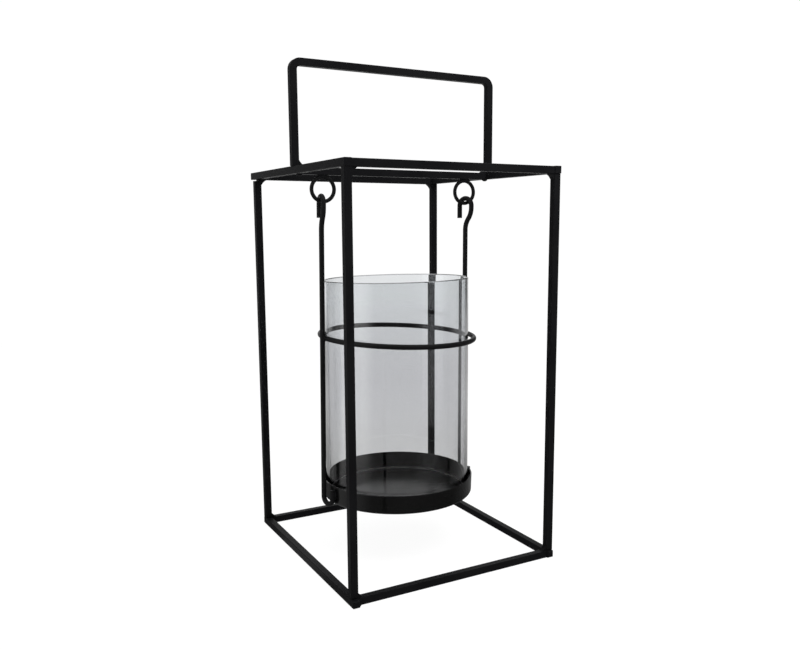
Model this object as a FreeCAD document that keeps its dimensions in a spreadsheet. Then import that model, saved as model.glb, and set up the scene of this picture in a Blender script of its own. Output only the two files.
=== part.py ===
import FreeCAD, Part
import math
import os

import Sketcher
from FreeCAD import Placement, Rotation, Vector

# Candle lantern: an open box frame of square bar with a fixed bar handle, and a
# wire hanger that hooks into two rings under the top cross bar and carries a
# round tray and a loose glass tube.
# Frame of the part: millimetres, +Z up, origin on the ground in the middle of
# the footprint, +X along the handle, the front of the lantern towards -Y.

doc = FreeCAD.newDocument("candle_lantern")

# ---------------------------------------------------------------- dimensions
sheet = doc.addObject("Spreadsheet::Sheet", "Sizes")
SIZES = [
    # open box frame
    ("frame_width", 176.8),      # outer face to outer face of the posts, X
    ("frame_depth", 187.8),      # outer face to outer face of the posts, Y
    ("frame_height", 307.4),     # ground to the top of the top bars
    ("bar_side", 5.6),           # square bar, over its paint
    ("bar_edge", 0.45),          # rolled edge radius of the bar
    # how far each side bar runs past the posts, as they were welded up
    ("top_left_front", 0.0),
    ("top_left_back", 5.2),
    ("top_right_front", 0.6),
    ("top_right_back", 1.0),
    ("low_left_front", 4.2),
    ("low_left_back", 0.0),
    ("low_right_front", 2.2),
    ("low_right_back", 0.8),
    ("end_round", 1.9),          # dressed front ends of the bottom side bars
    ("front_drop", 0.2),         # the top front bar lies this far below the side bars
    ("cross_drop", 0.4),         # and so do the cross bar and the top back bar
    ("post_notch", 0.45),        # bevel left open on the outer post ends
    ("gap_deep", 2.9),           # open gap over the back left post
    ("gap_tall", 1.3),
    # handle
    ("handle_side", 5.5),
    ("handle_edge", 0.4),
    ("handle_rise", 74.6),       # top bars to the middle of the grip bar
    ("handle_bend", 5.6),        # bend radius on the middle line
    ("handle_out", 0.5),         # legs outside the middles of the side bars
    ("handle_shift", 0.3),       # whole handle to the left
    # rings under the cross bar
    ("ring_outer", 21.2),
    ("ring_wire", 2.95),
    ("ring_left_reach", 64.3),   # ring middles from the middle of the lantern
    ("ring_right_reach", 62.4),
    # hanger
    ("wire", 4.0),
    ("hoop_radius", 62.6),       # middle line of the hoop
    ("hoop_height", 175.0),
    ("hoop_shift", 1.6),         # hoop middle, to the left of the lantern's middle
    ("arm_left_reach", 69.4),    # arm middle lines at the ground, from the lantern's middle
    ("arm_right_reach", 62.9),
    ("hook_radius", 6.0),
    ("hook_middle", 279.72),     # height of the middle of the hook eye
    ("hook_tip", 269.5),         # height of the free end of the hook
    ("hook_neck", 15.0),         # the two neck bends below the eye
    ("hook_straight", 1.8),
    ("return_radius", 5.4),      # return bend at the foot of the arm
    ("return_height", 49.8),
    ("return_end", 56.8),
    # tray
    ("tray_shift", 2.4),         # tray middle, to the left of the lantern's middle
    ("tray_rim", 62.2),
    ("tray_base", 61.7),
    ("tray_wall", 1.2),
    ("tray_rise", 15.2),
    ("tray_ground", 44.0),
    ("tray_corner", 2.6),
    ("tray_inner_corner", 1.2),
    # glass
    ("glass_shift", 2.6),        # glass middle, to the left of the lantern's middle
    ("glass_radius", 58.8),
    ("glass_wall", 2.0),
    ("glass_rise", 176.3),       # on the middle line
    ("glass_slant", 1.07),       # degrees the rim is cut out of square, front right side up
    ("glass_lip", 0.9),
    ("glass_foot", 0.6),
    # welds
    ("weld_leg", 4.2),           # top corners and handle
    ("weld_leg_low", 3.6),       # bottom corners
    ("weld_width", 4.2),
    ("weld_land", 0.25),
    ("weld_hollow", 2.4),        # radius of the weld face, in legs
]
VALUE = dict(SIZES)
for i, (alias, number) in enumerate(SIZES, start=1):
    sheet.set("A%d" % i, alias)
    sheet.set("B%d" % i, str(number))
    sheet.setAlias("B%d" % i, alias)
doc.recompute()

NODES = []                      # (label, object)


def node(obj, label):
    obj.Label = label
    NODES.append((label, obj))
    return obj


def bind(obj, **expressions):
    for prop, text in expressions.items():
        obj.setExpression(prop.replace("__", "."), text)


def set_base(obj, x="0", y="0", z="0"):
    for axis, text in (("x", x), ("y", y), ("z", z)):
        if text != "0":
            obj.setExpression("Placement.Base." + axis, text)


def plane_sketch(body, role, name):
    sk = body.newObject("Sketcher::SketchObject", name)
    plane = [o for o in body.Origin.OriginFeatures if o.Role == role][0]
    sk.AttachmentSupport = [(plane, "")]
    sk.MapMode = "FlatFace"
    return sk


def driven(sk, constraint, name, text):
    i = sk.addConstraint(constraint)
    sk.renameConstraint(i, name)
    sk.setExpression("Constraints." + name, text)
    return i


def square_sketch(sk, side, text, cx=0.0, text_cx=None):
    half = side / 2.0
    pts = [Vector(cx - half, -half, 0), Vector(cx + half, -half, 0),
           Vector(cx + half, half, 0), Vector(cx - half, half, 0)]
    for i in range(4):
        sk.addGeometry(Part.LineSegment(pts[i], pts[(i + 1) % 4]), False)
    for i in range(4):
        sk.addConstraint(Sketcher.Constraint("Coincident", i, 2, (i + 1) % 4, 1))
    sk.addConstraint(Sketcher.Constraint("Horizontal", 0))
    sk.addConstraint(Sketcher.Constraint("Horizontal", 2))
    sk.addConstraint(Sketcher.Constraint("Vertical", 1))
    sk.addConstraint(Sketcher.Constraint("Vertical", 3))
    driven(sk, Sketcher.Constraint("DistanceX", 0, 1, 0, 2, side), "wide", text)
    driven(sk, Sketcher.Constraint("DistanceY", 1, 1, 1, 2, side), "tall", text)
    if text_cx is None:
        sk.addConstraint(Sketcher.Constraint("Symmetric", 0, 1, 2, 1, -1, 1))
    else:
        driven(sk, Sketcher.Constraint("DistanceX", -1, 1, 0, 1, cx - half), "start", text_cx)
        driven(sk, Sketcher.Constraint("DistanceY", 0, 1, -1, 1, half), "low", text + "/2")


def closed_profile(sk, pts):
    n = len(pts)
    for i in range(n):
        a, b = pts[i], pts[(i + 1) % n]
        sk.addGeometry(Part.LineSegment(Vector(a[0], a[1], 0), Vector(b[0], b[1], 0)), False)
    for i in range(n):
        sk.addConstraint(Sketcher.Constraint("Coincident", i, 2, (i + 1) % n, 1))


def edges_where(shape, test):
    return ["Edge%d" % (i + 1) for i, e in enumerate(shape.Edges) if test(e)]


# ------------------------------------------------------------- square bars
# Each bar is a square section pushed along its own length, with the four long
# edges rolled.  axis says which way the length lies in the lantern.
TURN = {
    "x": Rotation(Vector(0, 1, 0), 90),
    "y": Rotation(Vector(1, 0, 0), -90),
    "z": Rotation(),
}


def bar(label, axis, length, x, y, z, notch=None, gap=False, dressed=False):
    body = doc.addObject("PartDesign::Body", "Body_" + label)
    sk = plane_sketch(body, "XY_Plane", "Section_" + label)
    square_sketch(sk, VALUE["bar_side"], "Sizes.bar_side")
    pad = body.newObject("PartDesign::Pad", "Pad_" + label)
    pad.Profile = sk
    pad.setExpression("Length", length)
    doc.recompute()
    tip = pad
    if notch:
        # bevel on the outward edges of both ends, where the weld was not filled
        sx, sy = notch
        half = VALUE["bar_side"] / 2.0

        def outward(e):
            c = e.CenterOfMass
            flat = e.BoundBox.ZLength < 0.01
            return flat and (abs(c.x - sx * half) < 0.01 or abs(c.y - sy * half) < 0.01)

        ch = body.newObject("PartDesign::Chamfer", "Notch_" + label)
        ch.Base = (tip, edges_where(tip.Shape, outward))
        ch.setExpression("Size", "Sizes.post_notch")
        doc.recompute()
        tip = ch
    if gap:
        # the weld was left open on the outer side of the upper end
        sk = plane_sketch(body, "XZ_Plane", "Gap_" + label)
        half, tall, deep = VALUE["bar_side"] / 2.0, VALUE["gap_tall"], VALUE["gap_deep"]
        top = VALUE["frame_height"] - 2 * VALUE["bar_side"]
        closed_profile(sk, [(-half - 1, top - tall), (-half + deep, top - tall), (-half + deep, top + 1), (-half - 1, top + 1)])
        for i in (0, 2):
            sk.addConstraint(Sketcher.Constraint("Horizontal", i))
        for i in (1, 3):
            sk.addConstraint(Sketcher.Constraint("Vertical", i))
        driven(sk, Sketcher.Constraint("DistanceX", -1, 1, 0, 2, deep - half), "deep", "Sizes.gap_deep-Sizes.bar_side/2")
        driven(sk, Sketcher.Constraint("DistanceX", 0, 1, 0, 2, deep + 1), "wide", "Sizes.gap_deep+1")
        driven(sk, Sketcher.Constraint("DistanceY", -1, 1, 0, 1, top - tall), "low",
               "Sizes.frame_height-2*Sizes.bar_side-Sizes.gap_tall")
        driven(sk, Sketcher.Constraint("DistanceY", 1, 1, 1, 2, tall + 1), "tall", "Sizes.gap_tall+1")
        pocket = body.newObject("PartDesign::Pocket", "Open_" + label)
        pocket.Profile = sk
        pocket.Type = "ThroughAll"
        pocket.Midplane = True
        before = tip.Shape.Volume
        doc.recompute()
        if before - pocket.Shape.Volume < 0.8 * deep * tall * VALUE["bar_side"]:
            raise RuntimeError("gap not cut: " + label)
        tip = pocket
    if dressed:
        fl = body.newObject("PartDesign::Fillet", "End_" + label)
        fl.Base = (tip, edges_where(tip.Shape, lambda e: e.BoundBox.ZMax < 0.01))
        fl.setExpression("Radius", "Sizes.end_round")
        doc.recompute()
        tip = fl
    fl = body.newObject("PartDesign::Fillet", "Edges_" + label)
    fl.Base = (tip, edges_where(tip.Shape, lambda e: e.BoundBox.ZLength > 20))
    fl.setExpression("Radius", "Sizes.bar_edge")
    doc.recompute()
    body.Placement = Placement(Vector(0, 0, 0), TURN[axis])
    set_base(body, x, y, z)
    return node(body, label)


POST_X = "(Sizes.frame_width-Sizes.bar_side)/2"
POST_Y = "(Sizes.frame_depth-Sizes.bar_side)/2"
TOP_Z = "Sizes.frame_height-Sizes.bar_side/2"
LOW_Z = "Sizes.bar_side/2"
POST_LEN = "Sizes.frame_height-2*Sizes.bar_side"
SPAN_X = "Sizes.frame_width-2*Sizes.bar_side"

for side, sx in (("left", -1), ("right", 1)):
    for face, sy in (("front", -1), ("back", 1)):
        bar("post_%s_%s" % (face, side), "z", POST_LEN,
            ("-" if sx < 0 else "") + POST_X, ("-" if sy < 0 else "") + POST_Y,
            "Sizes.bar_side", notch=(sx, sy), gap=(side == "left" and face == "back"))

# side bars run the full depth, each a little past the posts
for side, sx in (("left", "-"), ("right", "")):
    for name, level, z in (("top_bar_", "top", TOP_Z), ("bottom_bar_", "low", LOW_Z)):
        front, back = ("Sizes.%s_%s_%s" % (level, side, face) for face in ("front", "back"))
        bar(name + side, "y", "Sizes.frame_depth+%s+%s" % (front, back),
            sx + POST_X, "-Sizes.frame_depth/2-" + front, z, dressed=(level == "low"))

# front and back bars, and the middle cross bar, butt between the side bars
for face, sy in (("front", "-"), ("back", "")):
    bar("top_bar_" + face, "x", SPAN_X, "-(" + SPAN_X + ")/2", sy + POST_Y,
        TOP_Z + ("-Sizes.front_drop" if face == "front" else "-Sizes.cross_drop"))
    bar("bottom_bar_" + face, "x", SPAN_X, "-(" + SPAN_X + ")/2", sy + POST_Y, LOW_Z)
bar("top_cross_bar", "x", SPAN_X, "-(" + SPAN_X + ")/2", "0", TOP_Z + "-Sizes.cross_drop")

# ------------------------------------------------------------------ handle
# One square bar bent twice, standing on the middles of the top side bars.
body = doc.addObject("PartDesign::Body", "Body_carry_handle")
half_span = (VALUE["frame_width"] - VALUE["bar_side"]) / 2.0 + VALUE["handle_out"]
rise, bend = VALUE["handle_rise"], VALUE["handle_bend"]
path = plane_sketch(body, "XZ_Plane", "Path_handle")
path.addGeometry(Part.LineSegment(Vector(-half_span, 0, 0), Vector(-half_span, rise - bend, 0)), False)
path.addGeometry(Part.ArcOfCircle(Part.Circle(Vector(-half_span + bend, rise - bend, 0), Vector(0, 0, 1), bend),
                                  math.pi / 2, math.pi), False)
path.addGeometry(Part.LineSegment(Vector(-half_span + bend, rise, 0), Vector(half_span - bend, rise, 0)), False)
path.addGeometry(Part.ArcOfCircle(Part.Circle(Vector(half_span - bend, rise - bend, 0), Vector(0, 0, 1), bend),
                                  0, math.pi / 2), False)
path.addGeometry(Part.LineSegment(Vector(half_span, rise - bend, 0), Vector(half_span, 0, 0)), False)
path.addConstraint(Sketcher.Constraint("Tangent", 0, 2, 1, 2))
path.addConstraint(Sketcher.Constraint("Tangent", 1, 1, 2, 1))
path.addConstraint(Sketcher.Constraint("Tangent", 2, 2, 3, 2))
path.addConstraint(Sketcher.Constraint("Tangent", 3, 1, 4, 1))
path.addConstraint(Sketcher.Constraint("Vertical", 0))
path.addConstraint(Sketcher.Constraint("Horizontal", 2))
path.addConstraint(Sketcher.Constraint("Vertical", 4))
path.addConstraint(Sketcher.Constraint("PointOnObject", 0, 1, -1))
path.addConstraint(Sketcher.Constraint("Symmetric", 0, 1, 4, 2, -1, 1))
driven(path, Sketcher.Constraint("DistanceX", 0, 1, 4, 2, 2 * half_span), "span", "2*(" + POST_X + "+Sizes.handle_out)")
driven(path, Sketcher.Constraint("DistanceY", 0, 1, 2, 1, rise), "rise", "Sizes.handle_rise")
driven(path, Sketcher.Constraint("Radius", 1, bend), "bend_left", "Sizes.handle_bend")
driven(path, Sketcher.Constraint("Radius", 3, bend), "bend_right", "Sizes.handle_bend")
section = plane_sketch(body, "XY_Plane", "Section_handle")
square_sketch(section, VALUE["handle_side"], "Sizes.handle_side", -half_span,
              "-(" + POST_X + ")-Sizes.handle_out-Sizes.handle_side/2")
pipe = body.newObject("PartDesign::AdditivePipe", "Pipe_handle")
pipe.Profile = section
pipe.Spine = (path, ["Edge%d" % i for i in range(1, 6)])
pipe.Transition = "Transformed"
doc.recompute()
fl = body.newObject("PartDesign::Fillet", "Edges_handle")
fl.Base = (pipe, edges_where(pipe.Shape, lambda e: e.BoundBox.ZLength > 2 or e.BoundBox.XLength > 8))
fl.setExpression("Radius", "Sizes.handle_edge")
doc.recompute()
set_base(body, x="-Sizes.handle_shift", z="Sizes.frame_height")
handle = node(body, "carry_handle")

# ------------------------------------------------------------------- rings
# Wire rings hanging edge-up under the cross bar; the left one was welded on
# turned a little towards the front.
CROSS_Z = "Sizes.frame_height-Sizes.bar_side-Sizes.cross_drop"      # underside of the cross bar
RING_YAW = {"left": -1.0, "right": 0.0}
for side, sign in (("left", "-"), ("right", "")):
    yaw = RING_YAW[side]
    ring = doc.addObject("Part::Torus", "Ring_" + side)
    bind(ring, Radius1="(Sizes.ring_outer-Sizes.ring_wire)/2", Radius2="Sizes.ring_wire/2")
    ring.Placement = Placement(Vector(0, 0, 0), Rotation(Vector(0, 0, 1), yaw) * Rotation(Vector(1, 0, 0), 90))
    set_base(ring, x=sign + "Sizes.ring_%s_reach" % side, z=CROSS_Z + "-Sizes.ring_outer/2")
    node(ring, "ring_" + side)

# ------------------------------------------------------------- hanger arms
# Round wire: a question-mark hook at the top, a long straight drop beside the
# hoop, and a return bend whose short end lies against the tray wall.  The arms
# lean a little to the left on their way down.
ARM_LEAN = {"left": 0.72, "right": 0.20}


def foot_place(side, sx):
    """Where the arm meets the foot, and where its short end stands against the tray, in plan."""
    lean = math.sin(math.radians(ARM_LEAN[side])) * VALUE["return_height"]
    ax = sx * VALUE["arm_%s_reach" % side] + lean
    cx = -VALUE["tray_shift"]
    far = abs(ax - cx)                                     # arm to tray middle
    near = VALUE["tray_rim"] + VALUE["wire"] / 2 + 0.05    # short end to tray middle
    gap = 2 * VALUE["return_radius"]
    beta = math.acos((far ** 2 + near ** 2 - gap ** 2) / (2 * far * near))
    fx, fy = cx + sx * near * math.cos(beta), -near * math.sin(beta)
    return ax, fx, fy, math.degrees(math.atan2(fy, fx - ax))


def arm(side, sx, hook_turn):
    label, sign = "hanger_arm_" + side, "-" if sx < 0 else ""
    foot_turn = foot_place(side, sx)[3]
    body = doc.addObject("PartDesign::Body", "Body_" + label)
    z0, zc, off = VALUE["return_height"], VALUE["hook_middle"], VALUE["hook_radius"]
    neck, tip, stay = VALUE["hook_neck"], VALUE["hook_tip"], VALUE["hook_straight"]
    turn = math.acos(1 - off / (2 * neck))
    z2 = zc - stay
    z1 = z2 - 2 * neck * math.sin(turn)
    up = Vector(0, 0, 1)
    path = plane_sketch(body, "XZ_Plane", "Hook_" + label)
    path.addGeometry(Part.LineSegment(Vector(0, z0, 0), Vector(0, z1, 0)), False)
    path.addGeometry(Part.ArcOfCircle(Part.Circle(Vector(-neck, z1, 0), up, neck), 0, turn), False)
    path.addGeometry(Part.ArcOfCircle(Part.Circle(Vector(neck - off, z2, 0), up, neck),
                                      math.pi, math.pi + turn), False)
    path.addGeometry(Part.LineSegment(Vector(-off, z2, 0), Vector(-off, zc, 0)), False)
    path.addGeometry(Part.ArcOfCircle(Part.Circle(Vector(0, zc, 0), up, off), 0, math.pi), False)
    path.addGeometry(Part.LineSegment(Vector(off, zc, 0), Vector(off, tip, 0)), False)
    for a, pa, b, pb in ((0, 2, 1, 1), (1, 2, 2, 2), (2, 1, 3, 1), (3, 2, 4, 2), (4, 1, 5, 1)):
        path.addConstraint(Sketcher.Constraint("Tangent", a, pa, b, pb))
    path.addConstraint(Sketcher.Constraint("Vertical", 0))
    path.addConstraint(Sketcher.Constraint("Vertical", 3))
    path.addConstraint(Sketcher.Constraint("Vertical", 5))
    path.addConstraint(Sketcher.Constraint("PointOnObject", 0, 1, -2))
    path.addConstraint(Sketcher.Constraint("PointOnObject", 4, 3, -2))
    path.addConstraint(Sketcher.Constraint("Equal", 1, 2))
    driven(path, Sketcher.Constraint("DistanceY", -1, 1, 0, 1, z0), "foot", "Sizes.return_height")
    driven(path, Sketcher.Constraint("DistanceY", -1, 1, 4, 3, zc), "eye", "Sizes.hook_middle")
    driven(path, Sketcher.Constraint("DistanceY", -1, 1, 5, 2, tip), "tip", "Sizes.hook_tip")
    driven(path, Sketcher.Constraint("DistanceY", 3, 1, 3, 2, stay), "stay", "Sizes.hook_straight")
    driven(path, Sketcher.Constraint("Radius", 1, neck), "neck", "Sizes.hook_neck")
    driven(path, Sketcher.Constraint("Radius", 4, off), "loop", "Sizes.hook_radius")

    def wire_section(name):
        sk = plane_sketch(body, "XY_Plane", name)
        sk.addGeometry(Part.Circle(Vector(0, 0, 0), up, VALUE["wire"] / 2), False)
        sk.addConstraint(Sketcher.Constraint("Coincident", 0, 3, -1, 1))
        driven(sk, Sketcher.Constraint("Diameter", 0, VALUE["wire"]), "wire", "Sizes.wire")
        sk.setExpression("AttachmentOffset.Base.z", "Sizes.return_height")
        return sk

    pipe = body.newObject("PartDesign::AdditivePipe", "Drop_" + label)
    pipe.Profile = wire_section("Wire_" + label)
    pipe.Spine = (path, ["Edge%d" % i for i in range(1, 7)])
    doc.recompute()

    rr = VALUE["return_radius"]
    foot = plane_sketch(body, "XZ_Plane", "Foot_" + label)
    foot.AttachmentOffset = Placement(Vector(0, 0, 0), Rotation(Vector(0, 1, 0), foot_turn - hook_turn))
    foot.addGeometry(Part.ArcOfCircle(Part.Circle(Vector(rr, z0, 0), up, rr), math.pi, 2 * math.pi), False)
    foot.addGeometry(Part.LineSegment(Vector(2 * rr, z0, 0), Vector(2 * rr, VALUE["return_end"], 0)), False)
    foot.addConstraint(Sketcher.Constraint("Tangent", 0, 2, 1, 1))
    foot.addConstraint(Sketcher.Constraint("PointOnObject", 0, 1, -2))
    foot.addConstraint(Sketcher.Constraint("Horizontal", 0, 1, 0, 3))
    foot.addConstraint(Sketcher.Constraint("Vertical", 1))
    driven(foot, Sketcher.Constraint("DistanceY", -1, 1, 0, 1, z0), "foot", "Sizes.return_height")
    driven(foot, Sketcher.Constraint("Radius", 0, rr), "turn", "Sizes.return_radius")
    driven(foot, Sketcher.Constraint("DistanceY", -1, 1, 1, 2, VALUE["return_end"]), "end", "Sizes.return_end")
    back = body.newObject("PartDesign::AdditivePipe", "Return_" + label)
    back.Profile = wire_section("Wire2_" + label)
    back.Spine = (foot, ["Edge1", "Edge2"])
    doc.recompute()
    body.Placement = Placement(Vector(0, 0, 0), Rotation(Vector(0, 1, 0), ARM_LEAN[side]) * Rotation(Vector(0, 0, 1), hook_turn))
    set_base(body, x=sign + "Sizes.arm_%s_reach" % side)
    return node(body, label)


arm_left = arm("left", -1, 83.0)
arm_right = arm("right", 1, 111.0)

# -------------------------------------------------------------------- hoop
# The hoop was welded on a little askew, left and back sides up, and is let into
# the two arms where it crosses them.
HOOP_TURN = Rotation(Vector(0, 1, 0), 1.54) * Rotation(Vector(1, 0, 0), 1.38)
ring = doc.addObject("Part::Torus", "Hoop_wire")
bind(ring, Radius1="Sizes.hoop_radius", Radius2="Sizes.wire/2")
ring.Placement = Placement(Vector(0, 0, 0), HOOP_TURN)
set_base(ring, x="-Sizes.hoop_shift", z="Sizes.hoop_height")
hoop = ring
for side, tool in (("left", arm_left), ("right", arm_right)):
    cut = doc.addObject("Part::Cut", "Hoop_" + side)
    cut.Base, cut.Tool = hoop, tool
    hoop = cut
node(hoop, "glass_hoop")


# -------------------------------------------------------------------- tray
# Shallow pressed pan with a slightly flared wall and a rounded lower corner.
def revolve(body, sk, name):
    rev = body.newObject("PartDesign::Revolution", name)
    rev.Profile = sk
    rev.ReferenceAxis = (sk, ["V_Axis"])
    rev.Angle = 360.0
    doc.recompute()
    return rev


def circle_at(radius, height):
    def test(e):
        c = e.Curve
        return (isinstance(c, Part.Circle) and abs(c.Radius - radius) < 0.02
                and abs(c.Center.z - height) < 0.02)
    return test


body = doc.addObject("PartDesign::Body", "Body_candle_tray")
sk = plane_sketch(body, "XZ_Plane", "Profile_tray")
rim, base, wall, rise = VALUE["tray_rim"], VALUE["tray_base"], VALUE["tray_wall"], VALUE["tray_rise"]
closed_profile(sk, [(0, 0), (base, 0), (rim, rise), (rim - wall, rise), (base - wall, wall), (0, wall)])
sk.addConstraint(Sketcher.Constraint("Coincident", 0, 1, -1, 1))
sk.addConstraint(Sketcher.Constraint("Horizontal", 0))
sk.addConstraint(Sketcher.Constraint("Horizontal", 2))
sk.addConstraint(Sketcher.Constraint("Horizontal", 4))
sk.addConstraint(Sketcher.Constraint("Vertical", 5))
driven(sk, Sketcher.Constraint("DistanceX", 0, 1, 0, 2, base), "base", "Sizes.tray_base")
driven(sk, Sketcher.Constraint("DistanceX", -1, 1, 1, 2, rim), "rim", "Sizes.tray_rim")
driven(sk, Sketcher.Constraint("DistanceY", -1, 1, 1, 2, rise), "rise", "Sizes.tray_rise")
driven(sk, Sketcher.Constraint("DistanceX", 2, 2, 2, 1, wall), "lip", "Sizes.tray_wall")
driven(sk, Sketcher.Constraint("DistanceX", -1, 1, 3, 2, base - wall), "inside", "Sizes.tray_base-Sizes.tray_wall")
driven(sk, Sketcher.Constraint("DistanceY", -1, 1, 3, 2, wall), "floor", "Sizes.tray_wall")
rev = revolve(body, sk, "Spin_tray")
tip = rev
for name, size, radius, height in (
        ("Corner_tray", "tray_corner", base, 0.0),
        ("Inner_tray", "tray_inner_corner", base - wall, wall)):
    fl = body.newObject("PartDesign::Fillet", name)
    fl.Base = (tip, edges_where(tip.Shape, circle_at(radius, height)))
    fl.setExpression("Radius", "Sizes." + size)
    doc.recompute()
    tip = fl
fl = body.newObject("PartDesign::Fillet", "Rim_tray")
fl.Base = (tip, edges_where(tip.Shape, circle_at(rim, rise)) + edges_where(tip.Shape, circle_at(rim - wall, rise)))
fl.setExpression("Radius", "Sizes.tray_wall*0.38")
doc.recompute()
set_base(body, x="-Sizes.tray_shift", z="Sizes.tray_ground")
tray = node(body, "candle_tray")

# ------------------------------------------------------------------- glass
# Open straight tube with fire-polished edges, standing loose in the tray.  Its
# rim was cut a little out of square.
body = doc.addObject("PartDesign::Body", "Body_glass_cylinder")
sk = plane_sketch(body, "XZ_Plane", "Profile_glass")
outer, wall, rise = VALUE["glass_radius"], VALUE["glass_wall"], VALUE["glass_rise"]
spare = 4.0
closed_profile(sk, [(outer - wall, 0), (outer, 0), (outer, rise + spare), (outer - wall, rise + spare)])
sk.addConstraint(Sketcher.Constraint("PointOnObject", 0, 1, -1))
sk.addConstraint(Sketcher.Constraint("Horizontal", 0))
sk.addConstraint(Sketcher.Constraint("Vertical", 1))
sk.addConstraint(Sketcher.Constraint("Horizontal", 2))
sk.addConstraint(Sketcher.Constraint("Vertical", 3))
driven(sk, Sketcher.Constraint("DistanceX", 0, 1, 0, 2, wall), "wall", "Sizes.glass_wall")
driven(sk, Sketcher.Constraint("DistanceX", -1, 1, 0, 2, outer), "outer", "Sizes.glass_radius")
driven(sk, Sketcher.Constraint("DistanceY", 1, 1, 1, 2, rise + spare), "rise", "Sizes.glass_rise+%g" % spare)
rev = revolve(body, sk, "Spin_glass")
trim = body.newObject("PartDesign::SubtractiveBox", "Slant_glass")
bind(trim, Length="4*Sizes.glass_radius", Width="4*Sizes.glass_radius", Height="30")
tilt = Rotation(Vector(1, 1, 0), -VALUE["glass_slant"])
trim.Placement = Placement(Vector(0, 0, rise) + tilt.multVec(Vector(-2 * outer, -2 * outer, 0)), tilt)
doc.recompute()
top = edges_where(trim.Shape, lambda e: e.BoundBox.ZMin > rise - 3 and e.Length > 4 * outer)
if len(top) != 2:
    raise RuntimeError("glass rim not found")
lip = body.newObject("PartDesign::Fillet", "Lip_glass")
lip.Base = (trim, top)
lip.setExpression("Radius", "Sizes.glass_lip")
doc.recompute()
foot = body.newObject("PartDesign::Fillet", "Foot_glass")
foot.Base = (lip, edges_where(lip.Shape, circle_at(outer, 0.0)) + edges_where(lip.Shape, circle_at(outer - wall, 0.0)))
foot.setExpression("Radius", "Sizes.glass_foot")
doc.recompute()
set_base(body, x="-Sizes.glass_shift", z="Sizes.tray_ground+Sizes.tray_wall")
glass = node(body, "glass_cylinder")


# ------------------------------------------------------------------- welds
# Nearly flat fillet welds in the inner corners, and small rounded lumps where
# wire meets bar.  Each is trimmed to the faces it lies on.
def corner_weld(name, x, y, z, sx, sz, leg="Sizes.weld_leg", sunk="0"):
    box = doc.addObject("Part::Box", "Block_" + name)
    bind(box, Length=leg, Width="Sizes.weld_width", Height=leg + "+" + sunk)
    set_base(box, x if sx > 0 else x + "-" + leg, y + "-Sizes.weld_width/2",
             z + "-" + (sunk if sz > 0 else leg))
    # the face passes through the two lands at the ends of the legs
    cyl = doc.addObject("Part::Cylinder", "Scoop_" + name)
    round_ = "Sizes.weld_hollow*" + leg
    reach = "((%s+Sizes.weld_land)+sqrt(2*(%s)^2-(%s-Sizes.weld_land)^2))/2" % (leg, round_, leg)
    bind(cyl, Radius=round_, Height="Sizes.weld_width+2")
    cyl.Placement = Placement(Vector(0, 0, 0), Rotation(Vector(1, 0, 0), -90))
    set_base(cyl, x + ("+" if sx > 0 else "-") + reach, y + "-Sizes.weld_width/2-1",
             z + ("+" if sz > 0 else "-") + reach)
    cut = doc.addObject("Part::Cut", "Weld_" + name)
    cut.Base, cut.Tool = box, cyl
    return cut


def lump(name, rx, ry, rz, x, y, z, turn=0.0):
    ell = doc.addObject("Part::Ellipsoid", "Lump_" + name)
    # Radius1 lies along the local z axis, Radius2 along x and Radius3 along y
    ell.Radius1, ell.Radius2, ell.Radius3 = rz, rx, ry
    ell.Angle1, ell.Angle2, ell.Angle3 = -90, 90, 360
    ell.Placement = Placement(Vector(0, 0, 0), Rotation(Vector(0, 0, 1), turn))
    set_base(ell, x, y, z)
    return ell


def trimmed(name, base, tools):
    for i, tool in enumerate(tools):
        cut = doc.addObject("Part::Cut", "Trim%d_%s" % (i, name))
        cut.Base, cut.Tool = base, tool
        base = cut
    return base


def group(label, items):
    comp = doc.addObject("Part::Compound", "Group_" + label)
    comp.Links = items
    return node(comp, label)


by_label = dict(NODES)
INNER_X = "(Sizes.frame_width/2-Sizes.bar_side)"
for level, z, sz in (("top", "Sizes.frame_height-Sizes.bar_side", -1), ("bottom", "Sizes.bar_side", 1)):
    items = []
    for side, sign, sx in (("left", "-", 1), ("right", "", -1)):
        for face, sy in (("front", "-"), ("back", "")):
            low = {"topfront": "-Sizes.front_drop", "topback": "-Sizes.cross_drop"}.get(level + face, "")
            items.append(corner_weld("%s_%s_%s" % (level, face, side), sign + INNER_X, sy + POST_Y, z + low, sx, sz,
                                     "Sizes.weld_leg" if level == "top" else "Sizes.weld_leg_low"))
    if level == "bottom":
        # a bead fills the nook between the long left bar end and the front bar
        box = doc.addObject("Part::Box", "Block_end")
        bind(box, Length="2.2", Width="2.2", Height="Sizes.bar_side-1.2")
        set_base(box, "-" + INNER_X, "-Sizes.frame_depth/2-2.2", "0.6")
        cyl = doc.addObject("Part::Cylinder", "Scoop_end")
        bind(cyl, Radius="3.6", Height="Sizes.bar_side")
        set_base(cyl, "-" + INNER_X + "+3.85", "-Sizes.frame_depth/2-3.85", "0")
        cut = doc.addObject("Part::Cut", "Weld_end")
        cut.Base, cut.Tool = box, cyl
        items.append(cut)
    group("corner_welds_" + level, items)

items = []
for side, sign, sx in (("left", "-", 1), ("right", "", -1)):
    x = sign + "(" + POST_X + "+Sizes.handle_out-Sizes.handle_side/2)-Sizes.handle_shift"
    weld = corner_weld("handle_" + side, x, "0", "Sizes.frame_height", sx, 1, sunk="Sizes.cross_drop")
    items.append(trimmed("handle_" + side, weld, [by_label["top_bar_" + side]]))
group("handle_welds", items)

# lumps under the cross bar: keep only what is below the bar
below = doc.addObject("Part::Box", "Below_bars")
bind(below, Length="Sizes.frame_width", Width="40", Height="20")
set_base(below, "-Sizes.frame_width/2", "-20", CROSS_Z + "-20")


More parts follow.
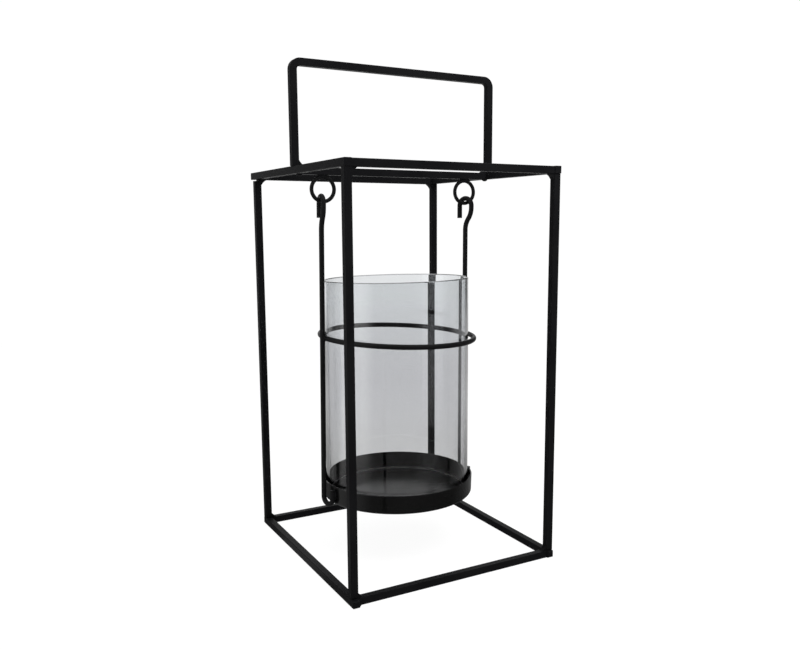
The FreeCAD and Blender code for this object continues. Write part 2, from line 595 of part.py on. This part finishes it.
def underside(name, ell):
    com = doc.addObject("Part::Common", "Under_" + name)
    com.Base, com.Tool = ell, below
    return com


items = []
for side, sign in (("left", "-"), ("right", "")):
    ell = lump("cross_" + side, 2.3, 2.2, 1.3, sign + INNER_X, "0", CROSS_Z)
    items.append(trimmed("cross_" + side, ell, [by_label["top_cross_bar"], by_label["top_bar_" + side]]))
group("cross_bar_welds", items)

items = []
for side, sign in (("left", "-"), ("right", "")):
    ell = lump("ring_" + side, 4.3, 2.2, 2.9, sign + "Sizes.ring_%s_reach" % side, "0",
               CROSS_Z, RING_YAW[side])
    items.append(trimmed("ring_" + side, underside("ring_" + side, ell), [by_label["ring_" + side]]))
group("ring_welds", items)

# hoop to arms and arm ends to the tray wall
items = []
for side, arm_obj, sx in (("left", arm_left, -1), ("right", arm_right, 1)):
    at = HOOP_TURN.multVec(Vector(sx * (VALUE["hoop_radius"] + VALUE["wire"] / 2 - 0.4), 0, 0))
    ell = lump("hoop_" + side, 1.9, 2.9, 2.7, "%.3f-Sizes.hoop_shift" % at.x, "0", "%.3f+Sizes.hoop_height" % at.z)
    items.append(trimmed("hoop_" + side, ell, [hoop, arm_obj]))
    ax, fx, fy, turn = foot_place(side, sx)
    cx = -VALUE["tray_shift"]
    out = Vector(fx - cx, fy, 0)
    k = (out.Length - VALUE["wire"] / 2 + 0.1) / out.Length
    ell = doc.addObject("Part::Ellipsoid", "Lump_tray_" + side)
    ell.Radius1, ell.Radius2, ell.Radius3 = 4.2, 1.5, 2.6
    ell.Angle1, ell.Angle2, ell.Angle3 = -90, 90, 360
    ell.Placement = Placement(Vector(cx + out.x * k, out.y * k, 0),
                              Rotation(Vector(0, 0, 1), math.degrees(math.atan2(out.y, out.x))))
    ell.setExpression("Placement.Base.z", "Sizes.tray_ground+Sizes.tray_rise*0.55")
    items.append(trimmed("tray_" + side, ell, [tray, arm_obj]))
group("hanger_welds", items)

doc.recompute()

# ------------------------------------------------------------------ output
bad = [o.Label for o in doc.Objects if "Invalid" in o.State or "Error" in o.State]
if bad:
    raise RuntimeError("failed objects: " + ", ".join(bad))
for label, obj in NODES:
    if obj.Shape.isNull() or not obj.Shape.isValid() or not obj.Shape.Solids:
        raise RuntimeError("bad shape: " + label)
os.makedirs("parts", exist_ok=True)
for label, obj in NODES:
    obj.Shape.exportStep("parts/%s.step" % label)
    box = obj.Shape.BoundBox
    print("%-22s solids %d  volume %9.1f  x %7.2f..%7.2f  y %7.2f..%7.2f  z %7.2f..%7.2f" % (
        label, len(obj.Shape.Solids), obj.Shape.Volume,
        box.XMin, box.XMax, box.YMin, box.YMax, box.ZMin, box.ZMax))
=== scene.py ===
# Candle lantern: black square-bar box frame, hooked wire hanger with hoop and tray, loose glass tube.
# The frame's meshes are kept as they are; this script gives every surface its finish, and sets the stage.
import bpy
import math
from mathutils import Matrix, Vector

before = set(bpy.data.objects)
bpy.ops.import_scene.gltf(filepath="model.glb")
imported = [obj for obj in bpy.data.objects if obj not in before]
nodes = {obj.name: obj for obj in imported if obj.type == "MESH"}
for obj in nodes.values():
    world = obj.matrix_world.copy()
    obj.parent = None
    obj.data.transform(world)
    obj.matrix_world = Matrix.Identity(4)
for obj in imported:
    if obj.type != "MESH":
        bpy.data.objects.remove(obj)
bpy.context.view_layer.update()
scene = bpy.context.scene


# ---------------------------------------------------------------- camera
def make_camera():
    focal, centre_x, centre_y = 805.918, 425.046, 346.127   # pixels of the 800 x 650 picture
    width, height = 800.0, 650.0
    az, el, roll = (math.radians(v) for v in (-29.653, 8.665, 0.122))
    back = Vector((math.sin(az) * math.cos(el), -math.cos(az) * math.cos(el), math.sin(el)))
    right = Vector((math.cos(az), math.sin(az), 0.0))
    up = back.cross(right)
    c, s = math.cos(roll), math.sin(roll)
    right, up = right * c - up * s, right * s + up * c
    data = bpy.data.cameras.new("camera")
    data.sensor_fit = "HORIZONTAL"
    data.sensor_width = 36.0
    data.lens = 36.0 * focal / width
    data.shift_x = (width / 2 - centre_x) / width
    data.shift_y = (centre_y - height / 2) / width
    data.clip_start, data.clip_end = 0.01, 60.0
    cam = bpy.data.objects.new("camera", data)
    scene.collection.objects.link(cam)
    m = Matrix.Identity(4)
    for i, v in enumerate((right, up, back, Vector((-0.304907, -0.578752, 0.265154)))):
        for r in range(3):
            m[r][i] = v[r]
    cam.matrix_world = m
    scene.camera = cam


make_camera()


# ---------------------------------------------------------------- node helpers
class Tree:
    """A material's node tree with short calls for the nodes used here."""

    def __init__(self, name):
        self.mat = bpy.data.materials.new(name)
        self.mat.use_nodes = True
        self.t = self.mat.node_tree
        self.t.nodes.clear()
        self.out = self.t.nodes.new("ShaderNodeOutputMaterial")

    def add(self, kind, **values):
        n = self.t.nodes.new(kind)
        for k, v in values.items():
            setattr(n, k, v)
        return n

    def link(self, a, b):
        self.t.links.new(a, b)

    def place(self, scale=(1, 1, 1)):
        """Object coordinates, in metres, stretched by scale."""
        co = self.add("ShaderNodeTexCoord")
        mp = self.add("ShaderNodeMapping")
        mp.inputs["Scale"].default_value = scale
        self.link(co.outputs["Object"], mp.inputs["Vector"])
        return mp.outputs["Vector"]

    def noise(self, vector, scale, detail=3.0, rough=0.55):
        n = self.add("ShaderNodeTexNoise")
        n.inputs["Scale"].default_value = scale
        n.inputs["Detail"].default_value = detail
        n.inputs["Roughness"].default_value = rough
        self.link(vector, n.inputs["Vector"])
        return n.outputs["Fac"]

    def span(self, value, a, b, lo, hi, smooth=True):
        n = self.add("ShaderNodeMapRange", interpolation_type="SMOOTHSTEP" if smooth else "LINEAR")
        for k, v in zip(("From Min", "From Max", "To Min", "To Max"), (a, b, lo, hi)):
            n.inputs[k].default_value = v
        self.link(value, n.inputs["Value"])
        return n.outputs["Result"]

    def math(self, op, a, b=None, clamp=False):
        n = self.add("ShaderNodeMath", operation=op, use_clamp=clamp)
        for i, v in enumerate((a, b)):
            if v is None:
                continue
            if isinstance(v, (int, float)):
                n.inputs[i].default_value = v
            else:
                self.link(v, n.inputs[i])
        return n.outputs[0]

    def mix(self, fac, a, b):
        n = self.add("ShaderNodeMix", data_type="RGBA")
        if isinstance(fac, (int, float)):
            n.inputs["Factor"].default_value = fac
        else:
            self.link(fac, n.inputs["Factor"])
        for socket, v in ((n.inputs[6], a), (n.inputs[7], b)):
            if isinstance(v, (tuple, list)):
                socket.default_value = (*v, 1.0)
            else:
                self.link(v, socket)
        return n.outputs[2]

    def bump(self, height, strength, distance, normal=None):
        n = self.add("ShaderNodeBump")
        n.inputs["Strength"].default_value = strength
        n.inputs["Distance"].default_value = distance
        self.link(height, n.inputs["Height"])
        if normal is not None:
            self.link(normal, n.inputs["Normal"])
        return n.outputs["Normal"]

    def shader(self, **values):
        p = self.add("ShaderNodeBsdfPrincipled")
        for k, v in values.items():
            p.inputs[k].default_value = v
        self.link(p.outputs["BSDF"], self.out.inputs["Surface"])
        return p


# ---------------------------------------------------------------- finishes
def black_paint(name, dark, light, gloss, specular, peel, speck):
    """Black powder coat: an orange-peel skin about a millimetre across, a fine grain in it,
    slow patches of slightly different black and gloss, and a few dust specks."""
    t = Tree(name)
    v = t.place()
    patches = t.noise(v, 22.0, 2.0)
    skin = t.noise(v, 900.0, 2.0, 0.5)
    grain = t.noise(v, 4200.0, 2.0, 0.6)
    dust = t.noise(v, 1500.0, 1.0, 0.4)
    p = t.shader(**{"IOR": 1.47, "Specular IOR Level": specular})
    tone = t.mix(t.span(patches, 0.3, 0.7, 0.0, 1.0), dark, light)
    tone = t.mix(t.span(grain, 0.35, 0.75, 0.0, 0.35), tone, tuple(c * 1.9 for c in light))
    tone = t.mix(t.span(dust, 0.72, 0.80, 0.0, speck), tone, (0.06, 0.058, 0.055))
    t.link(tone, p.inputs["Base Color"])
    rough = t.math("ADD", t.span(patches, 0.25, 0.75, gloss - 0.05, gloss + 0.06), t.span(grain, 0.3, 0.7, -0.04, 0.05))
    t.link(rough, p.inputs["Roughness"])
    n = t.bump(skin, peel, 0.00025)
    n = t.bump(grain, peel * 0.55, 0.00006, n)
    t.link(n, p.inputs["Normal"])
    return t.mat


def smoke_glass(name):
    """Drawn tube glass, lightly smoked, with painted shade making it a little deeper towards the foot and painted light
    making it paler towards the rim, with faint lengthwise draw lines, a rim darkened by painted shade that stands in
    for the dark line at a glass edge, and a ground foot whose paler tint is painted light."""
    t = Tree(name)
    co = t.add("ShaderNodeTexCoord")
    xyz = t.add("ShaderNodeSeparateXYZ")
    t.link(co.outputs["Object"], xyz.inputs["Vector"])
    draw = t.noise(t.place((1.0, 1.0, 0.008)), 230.0, 2.0, 0.5)
    wave = t.noise(t.place((1.0, 1.0, 0.10)), 22.0, 1.0, 0.4)
    p = t.shader(**{"IOR": 1.5, "Transmission Weight": 1.0, "Roughness": 0.0, "Metallic": 0.0})
    # Painted shade and light: the tint is deeper in the lower part and paler towards the rim, standing in for the
    # shaded floor and the bright backdrop seen through the glass.
    smoke_and_painted_shade = t.mix(t.span(xyz.outputs["Z"], 0.050, 0.140, 0.0, 1.0), (0.742, 0.746, 0.748), (0.730, 0.735, 0.750))
    smoke_and_painted_shade = t.mix(t.span(xyz.outputs["Z"], 0.140, 0.210, 0.0, 1.0), smoke_and_painted_shade, (0.800, 0.817, 0.830))
    tone = t.mix(t.span(draw, 0.3, 0.7, 0.0, 0.04), smoke_and_painted_shade, (0.9, 0.9, 0.9))
    facing = t.add("ShaderNodeSeparateXYZ")
    t.link(co.outputs["Normal"], facing.inputs["Vector"])
    # Painted shade: the rim's faces are tinted dark grey, standing in for the dark line that a glass edge shows.
    rim = t.span(t.math("ABSOLUTE", facing.outputs["Z"]), 0.10, 0.45, 0.0, 1.0)
    rim = t.math("MULTIPLY", rim, t.span(xyz.outputs["Z"], 0.15, 0.16, 0.0, 1.0))
    tone = t.mix(rim, tone, (0.20, 0.206, 0.212))
    # The foot is ground, so it is rough; its paler, near-white tint is painted light.
    foot = t.span(xyz.outputs["Z"], 0.0456, 0.0466, 1.0, 0.0)
    t.link(t.mix(foot, tone, (0.95, 0.95, 0.95)), p.inputs["Base Color"])
    t.link(t.math("MULTIPLY", foot, 0.55), p.inputs["Roughness"])
    n = t.bump(draw, 0.004, 0.0002)
    n = t.bump(wave, 0.004, 0.001, n)
    t.link(n, p.inputs["Normal"])
    return t.mat


bar_paint = black_paint("bar_paint", (0.0050, 0.0050, 0.0056), (0.0078, 0.0078, 0.0085), 0.40, 0.04, 0.30, 0.35)
wire_paint = black_paint("wire_paint", (0.0048, 0.0048, 0.0051), (0.0072, 0.0072, 0.0076), 0.42, 0.09, 0.22, 0.3)
tray_paint = black_paint("tray_paint", (0.0022, 0.0022, 0.0022), (0.0032, 0.0032, 0.0032), 0.20, 0.36, 0.08, 0.3)
weld_paint = black_paint("weld_paint", (0.0050, 0.0050, 0.0055), (0.0078, 0.0078, 0.0084), 0.42, 0.05, 0.75, 0.2)
glass = smoke_glass("smoke_glass")

for name, ob in nodes.items():
    if name.endswith("welds") or "_welds_" in name:
        mat = weld_paint
    elif name == "candle_tray":
        mat = tray_paint
    elif name == "glass_cylinder":
        mat = glass
    elif name.startswith(("hanger_arm", "ring_")) or name == "glass_hoop":
        mat = wire_paint
    else:
        mat = bar_paint
    ob.data.materials.clear()
    ob.data.materials.append(mat)


# ---------------------------------------------------------------- stage
AWAY = (0.495, 0.869, 0.0)      # the way the floor runs off behind the lantern
SWEEP = (0.303, 0.953, 0.0)     # the middle of the white sweep, a little to the left of it
LEFT = (-0.869, 0.495, 0.0)     # the side of the white panel


def mirrored(t, shown, room, floor=False):
    """The stage as it shows in mirrored light: a white sweep behind, a white panel on the
    left and a dim room everywhere else."""
    co = t.add("ShaderNodeTexCoord")
    way = t.add("ShaderNodeVectorMath", operation="NORMALIZE")
    t.link(co.outputs["Object"], way.inputs[0])

    def along(vector, axis):
        dot = t.add("ShaderNodeVectorMath", operation="DOT_PRODUCT")
        dot.inputs[1].default_value = axis
        t.link(vector, dot.inputs[0])
        return dot.outputs["Value"]

    behind, left = along(way.outputs["Vector"], AWAY), along(way.outputs["Vector"], LEFT)
    panel = t.math("MULTIPLY", t.span(left, 0.48, 0.82, 0.0, 1.3), t.span(behind, -0.10, 0.15, 1.0, 0.10))
    if floor:
        far = t.add("ShaderNodeVectorMath", operation="LENGTH")
        t.link(co.outputs["Object"], far.inputs[0])
        panel = t.math("MULTIPLY", panel, t.span(far.outputs["Value"], 0.22, 0.65, 0.28, 1.0))
        sweep = t.span(along(co.outputs["Object"], AWAY), -0.10, 0.50, 0.0, 0.42)
        front = t.span(behind, -0.95, -0.40, room, 0.48 * room)
        room = t.math("MULTIPLY", front, t.span(far.outputs["Value"], 0.64, 0.86, 1.0, 0.20))
    else:
        sweep = t.span(along(way.outputs["Vector"], SWEEP), 0.76, 0.97, 0.0, 1.0)
    glow = t.add("ShaderNodeEmission")
    t.link(t.math("ADD", t.math("MAXIMUM", sweep, panel), room), glow.inputs["Strength"])
    path = t.add("ShaderNodeLightPath")
    mix = t.add("ShaderNodeMixShader")
    t.link(t.math("GREATER_THAN", path.outputs["Glossy Depth"], 0.5), mix.inputs["Fac"])
    t.link(shown, mix.inputs[1])
    t.link(glow.outputs["Emission"], mix.inputs[2])
    return mix.outputs["Shader"]


def make_floor():
    """A pale round floor that fades into the backdrop at its rim."""
    side, rings = 96, (0.0, 0.25, 0.6, 1.2, 2.0, 3.0)
    verts, faces = [(0.0, 0.0, 0.0)], []
    for r in rings[1:]:
        verts += [(r * math.cos(2 * math.pi * i / side), r * math.sin(2 * math.pi * i / side), 0.0) for i in range(side)]
    for i in range(side):
        faces.append((0, 1 + i, 1 + (i + 1) % side))
    for k in range(len(rings) - 2):
        a, b = 1 + k * side, 1 + (k + 1) * side
        for i in range(side):
            j = (i + 1) % side
            faces.append((a + i, b + i, b + j, a + j))
    me = bpy.data.meshes.new("floor")
    me.from_pydata(verts, [], faces)
    ob = bpy.data.objects.new("floor", me)
    scene.collection.objects.link(ob)
    ob.location = (0.0, 0.0, -0.0002)
    t = Tree("floor")
    co = t.add("ShaderNodeTexCoord")
    length = t.add("ShaderNodeVectorMath", operation="LENGTH")
    t.link(co.outputs["Object"], length.inputs[0])
    matt = t.add("ShaderNodeBsdfDiffuse")
    matt.inputs["Color"].default_value = (0.10, 0.10, 0.10, 1.0)
    glow = t.add("ShaderNodeEmission")
    glow.inputs["Strength"].default_value = 0.955
    p = t.add("ShaderNodeAddShader")
    t.link(matt.outputs["BSDF"], p.inputs[0])
    t.link(glow.outputs["Emission"], p.inputs[1])
    seen = mirrored(t, p.outputs["Shader"], 0.17, floor=True)
    clear = t.add("ShaderNodeBsdfTransparent")
    both = t.add("ShaderNodeMixShader")
    t.link(t.span(length.outputs["Value"], 0.9, 2.6, 0.0, 1.0), both.inputs["Fac"])
    t.link(seen, both.inputs[1])
    t.link(clear.outputs["BSDF"], both.inputs[2])
    t.link(both.outputs["Shader"], t.out.inputs["Surface"])
    me.materials.append(t.mat)
    return ob


def make_backdrop():
    """A plain white dome far behind everything; it is a backdrop only and lights nothing matt."""
    import bmesh
    me = bpy.data.meshes.new("backdrop")
    bm = bmesh.new()
    bmesh.ops.create_uvsphere(bm, u_segments=48, v_segments=24, radius=12.0)
    bm.to_mesh(me)
    bm.free()
    ob = bpy.data.objects.new("backdrop", me)
    scene.collection.objects.link(ob)
    t = Tree("backdrop")
    e = t.add("ShaderNodeEmission")
    e.inputs["Color"].default_value = (1.0, 1.0, 1.0, 1.0)
    e.inputs["Strength"].default_value = 1.02
    t.link(mirrored(t, e.outputs["Emission"], 0.08), t.out.inputs["Surface"])
    me.materials.append(t.mat)
    ob.visible_diffuse = False
    ob.visible_shadow = False
    ob.visible_volume_scatter = False
    return ob


def area(name, where, aim, size, power, colour=(1.0, 1.0, 1.0)):
    d = bpy.data.lights.new(name, "AREA")
    d.shape = "RECTANGLE"
    d.size, d.size_y = size
    d.energy = power
    d.color = colour
    ob = bpy.data.objects.new(name, d)
    scene.collection.objects.link(ob)
    ob.location = where
    ob.rotation_mode = "QUATERNION"
    ob.rotation_quaternion = (Vector(aim) - Vector(where)).to_track_quat("-Z", "Y")
    ob.visible_camera = False
    return ob


floor = make_floor()
make_backdrop()
area("top_light", (0.0, 0.1, 1.7), (0.0, 0.0, 0.0), (2.6, 2.6), 36.0)
area("left_light", (-1.6, -0.2, 0.7), (0.0, 0.0, 0.15), (1.2, 1.2), 4.0)
area("front_fill", (0.15, -0.42, 0.62), (0.0, -0.05, 0.33), (0.4, 0.25), 2.5).visible_glossy = False

world = bpy.data.worlds.new("studio")
scene.world = world
world.use_nodes = True
world.node_tree.nodes["Background"].inputs["Color"].default_value = (1.0, 1.0, 1.0, 1.0)
world.node_tree.nodes["Background"].inputs["Strength"].default_value = 0.05

scene.view_settings.view_transform = "Standard"
scene.view_settings.look = "None"
